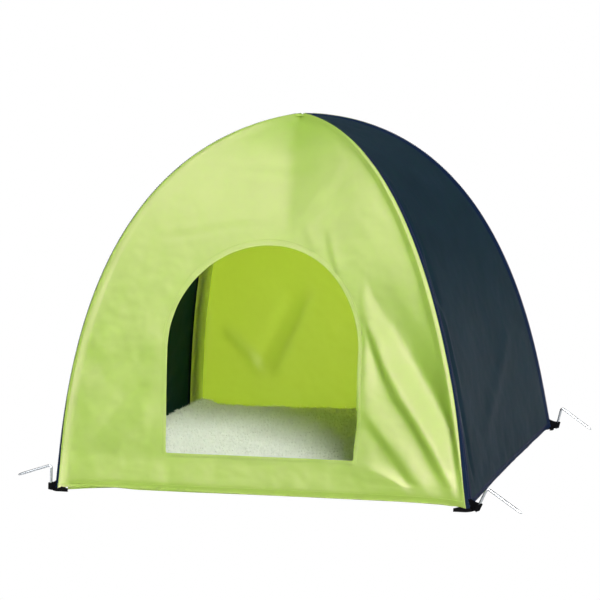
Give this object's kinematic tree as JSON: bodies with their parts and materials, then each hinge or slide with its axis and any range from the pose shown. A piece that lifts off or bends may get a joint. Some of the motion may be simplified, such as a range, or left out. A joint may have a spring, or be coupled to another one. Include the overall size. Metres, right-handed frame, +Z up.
{
  "type": "pet tent",
  "caption": "Dome tent for a small pet with an open arched doorway, crossing poles in the corner seams, a plush floor mat and bent wire pegs.",
  "frame": {"origin": "middle of the tent's floor at ground level, the bottom centre of the bounding box", "axes": "+Z up, -Y out through the doorway, +X to the right of someone who faces the doorway"},
  "size_m": [0.6856, 0.4706, 0.474],
  "materials": {
    "lime_cloth": "woven polyester, slightly see-through",
    "door_tape": "folded woven tape",
    "navy_cloth": "woven polyester",
    "black_webbing": "woven webbing",
    "fibreglass": "smooth",
    "ferrule_metal": "satin",
    "nylon_cap": "smooth",
    "elastic_cord": "braided",
    "peg_wire": "bright galvanised",
    "plush": "long-pile plush",
    "mat_wadding": "fibre wadding",
    "mat_backing": "woven"
  },
  "bodies": {
    "tent": {"front_panel": "lime_cloth", "back_panel": "lime_cloth", "ground_sheet": "lime_cloth", "apex_patch": "lime_cloth", "door_binding": "door_tape", "left_panel": "navy_cloth", "right_panel": "navy_cloth", "sleeve_front_left": "navy_cloth", "sleeve_front_right": "navy_cloth", "sleeve_back_left": "navy_cloth", "sleeve_back_right": "navy_cloth", "pocket_front_left": "black_webbing", "pocket_front_right": "black_webbing", "pocket_back_left": "black_webbing", "pocket_back_right": "black_webbing", "peg_loop_front_left": "black_webbing", "peg_loop_front_right": "black_webbing", "peg_loop_back_left": "black_webbing", "peg_loop_back_right": "black_webbing", "pole_a_segment_1": "fibreglass", "pole_a_segment_2": "fibreglass", "pole_a_segment_3": "fibreglass", "pole_b_segment_1": "fibreglass", "pole_b_segment_2": "fibreglass", "pole_b_segment_3": "fibreglass", "pole_a_ferrule_1": "ferrule_metal", "pole_a_ferrule_2": "ferrule_metal", "pole_b_ferrule_1": "ferrule_metal", "pole_b_ferrule_2": "ferrule_metal", "pole_a_end_cap_1": "nylon_cap", "pole_a_end_cap_2": "nylon_cap", "pole_b_end_cap_1": "nylon_cap", "pole_b_end_cap_2": "nylon_cap", "pole_a_shock_cord": "elastic_cord", "pole_b_shock_cord": "elastic_cord"},
    "mat": {"mat_cover": "plush", "mat_filling": "mat_wadding", "mat_underside": "mat_backing"},
    "peg_front_left": {"peg_front_left": "peg_wire"},
    "peg_front_right": {"peg_front_right": "peg_wire"},
    "peg_back_left": {"peg_back_left": "peg_wire"},
    "peg_back_right": {"peg_back_right": "peg_wire"}
  },
  "joints": [
    {"name": "mat_lift", "type": "slide", "parent": "tent", "child": "mat", "axis": [0, 0, 1], "range_m": [0, 0.04]},
    {"name": "peg_front_left_pull", "type": "slide", "parent": "tent", "child": "peg_front_left", "axis": [0.0797, 0, 0.9968], "range_m": [0, 0.03]},
    {"name": "peg_front_right_pull", "type": "slide", "parent": "tent", "child": "peg_front_right", "axis": [0.4472, 0, 0.8944], "range_m": [0, 0.03]},
    {"name": "peg_back_left_pull", "type": "slide", "parent": "tent", "child": "peg_back_left", "axis": [-0.4472, 0, 0.8944], "range_m": [0, 0.03]},
    {"name": "peg_back_right_pull", "type": "slide", "parent": "tent", "child": "peg_back_right", "axis": [0.2696, 0, 0.963], "range_m": [0, 0.03]}
  ]
}
